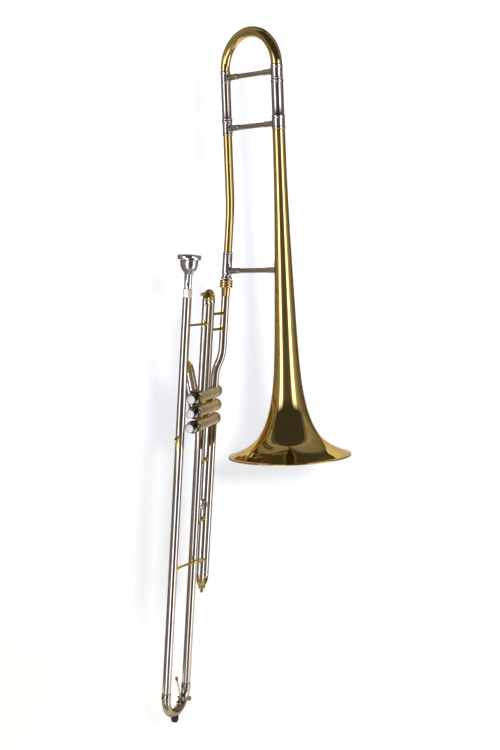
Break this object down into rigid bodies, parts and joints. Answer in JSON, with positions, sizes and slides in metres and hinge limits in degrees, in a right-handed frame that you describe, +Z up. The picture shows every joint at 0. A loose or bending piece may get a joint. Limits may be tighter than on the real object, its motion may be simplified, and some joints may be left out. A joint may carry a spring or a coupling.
{
  "type": "valve trombone",
  "caption": "Tenor valve trombone: brass bell and tuning slide, piston valve section with nickel-silver tubes and slides, lead tube with lower bow and silver mouthpiece.",
  "frame": {"origin": "centre of the bell rim, in the plane of the rim, where a stand holds the instrument", "axes": "+Z up the bell axis from the rim to the tuning bow; the neckpipe stands at -X of the bell; the valve buttons face towards -Y"},
  "size_m": [0.2862, 0.2805, 1.1452],
  "materials": {
    "yellow_brass": "polished and lacquered",
    "casing_brass": "polished, paler brass",
    "nickel_silver": "polished nickel silver",
    "silver_plate": "mirror-polished silver plate",
    "pearl": "glossy mother-of-pearl disc",
    "spring_steel": "bright wire",
    "black_rubber": "matte black rubber",
    "cork": "dry brown cork"
  },
  "bodies": {
    "bell_section": {"bell": "yellow_brass", "bell_slide_outer_tube": "nickel_silver", "neckpipe": "yellow_brass", "neck_slide_inner_tube": "nickel_silver", "neck_tenon_ferrule": "nickel_silver", "upper_brace": "nickel_silver", "lower_brace": "nickel_silver"},
    "lock_nut": {"bell_lock_nut": "yellow_brass"},
    "tuning_slide": {"tuning_bow": "yellow_brass", "tuning_slide_neck_tube": "nickel_silver", "tuning_slide_bell_tube": "nickel_silver", "tuning_slide_brace": "nickel_silver"},
    "mouthpiece": {"mouthpiece": "silver_plate"},
    "water_key": {"water_key_lever": "nickel_silver", "water_key_cork": "cork"},
    "lyre_screw": {"lyre_screw": "nickel_silver"},
    "first_piston": {"first_valve_piston": "nickel_silver", "first_valve_button": "nickel_silver", "first_button_pearl": "pearl"},
    "first_slide": {"first_slide_inner_bow": "yellow_brass"},
    "second_piston": {"second_valve_piston": "nickel_silver", "second_valve_button": "nickel_silver", "second_button_pearl": "pearl"},
    "second_slide": {"second_slide_inner_bow": "yellow_brass"},
    "third_piston": {"third_valve_piston": "nickel_silver", "third_valve_button": "nickel_silver", "third_button_pearl": "pearl"},
    "third_slide": {"third_slide_inner_bow": "yellow_brass"},
    "valve_section": {"first_valve_top_cap": "nickel_silver", "first_valve_bottom_cap": "casing_brass", "first_valve_spring": "spring_steel", "second_valve_top_cap": "nickel_silver", "second_valve_bottom_cap": "casing_brass", "second_valve_spring": "spring_steel", "third_valve_top_cap": "nickel_silver", "third_valve_bottom_cap": "casing_brass", "third_valve_spring": "spring_steel", "valve_block": "casing_brass", "first_slide_front_tube": "nickel_silver", "first_slide_rear_tube": "nickel_silver", "third_slide_front_tube": "nickel_silver", "third_slide_rear_tube": "nickel_silver", "second_slide_front_tube": "nickel_silver", "second_slide_rear_tube": "nickel_silver", "lead_tube": "nickel_silver", "back_tube": "nickel_silver", "neck_tube": "nickel_silver", "neck_collar": "yellow_brass", "lower_bow": "nickel_silver", "bow_bumper": "black_rubber", "bow_side_cork": "cork", "water_key_saddle": "nickel_silver", "mouthpipe_brace": "yellow_brass", "upper_neck_strut": "yellow_brass", "lower_neck_strut": "yellow_brass", "upper_third_slide_strut": "yellow_brass", "lower_third_slide_strut": "yellow_brass", "bow_brace": "yellow_brass", "finger_hook": "yellow_brass", "lyre_holder": "nickel_silver"}
  },
  "joints": [
    {"name": "tuning_slide_travel", "type": "slide", "parent": "bell_section", "child": "tuning_slide", "axis": [0, 0, 1], "range_m": [0, 0.045]},
    {"name": "lock_nut_turn", "type": "hinge", "parent": "bell_section", "child": "lock_nut", "pos_m": [-0.115, 0, 0.412], "axis": [0.0861, 0.046, 0.9952], "continuous": true},
    {"name": "valve_section_swivel", "type": "hinge", "parent": "bell_section", "child": "valve_section", "pos_m": [-0.115, 0, 0.412], "axis": [0.0861, 0.046, 0.9952], "range_deg": [-40, 25]},
    {"name": "mouthpiece_pull", "type": "slide", "parent": "valve_section", "child": "mouthpiece", "axis": [0.0861, 0.046, 0.9952], "range_m": [0, 0.024]},
    {"name": "first_valve_press", "type": "slide", "parent": "valve_section", "child": "first_piston", "axis": [-0.4618, 0.887, -0.001], "range_m": [0, 0.0135], "stiffness_N_per_m": 120, "springref_m": -0.02, "deforming": ["first_valve_spring"]},
    {"name": "second_valve_press", "type": "slide", "parent": "valve_section", "child": "second_piston", "axis": [-0.4618, 0.887, -0.001], "range_m": [0, 0.0135], "stiffness_N_per_m": 120, "springref_m": -0.02, "deforming": ["second_valve_spring"]},
    {"name": "third_valve_press", "type": "slide", "parent": "valve_section", "child": "third_piston", "axis": [-0.4618, 0.887, -0.001], "range_m": [0, 0.0135], "stiffness_N_per_m": 120, "springref_m": -0.02, "deforming": ["third_valve_spring"]},
    {"name": "first_slide_pull", "type": "slide", "parent": "valve_section", "child": "first_slide", "axis": [0.0861, 0.046, 0.9952], "range_m": [0, 0.055]},
    {"name": "second_slide_pull", "type": "slide", "parent": "valve_section", "child": "second_slide", "axis": [-0.1453, -0.0745, 0.9866], "range_m": [0, 0.028]},
    {"name": "third_slide_pull", "type": "slide", "parent": "valve_section", "child": "third_slide", "axis": [-0.0861, -0.046, -0.9952], "range_m": [0, 0.11]},
    {"name": "water_key_pivot", "type": "hinge", "parent": "valve_section", "child": "water_key", "pos_m": [-0.15572, -0.12301, -0.40606], "axis": [-0.9503, -0.2961, 0.0959], "range_deg": [0, 16], "stiffness_Nm_per_rad": 0.03, "springref_deg": -28.65},
    {"name": "lyre_screw_turn", "type": "hinge", "parent": "valve_section", "child": "lyre_screw", "pos_m": [-0.15114, -0.05767, -0.08712], "axis": [0.4618, -0.887, 0.001], "continuous": true}
  ]
}
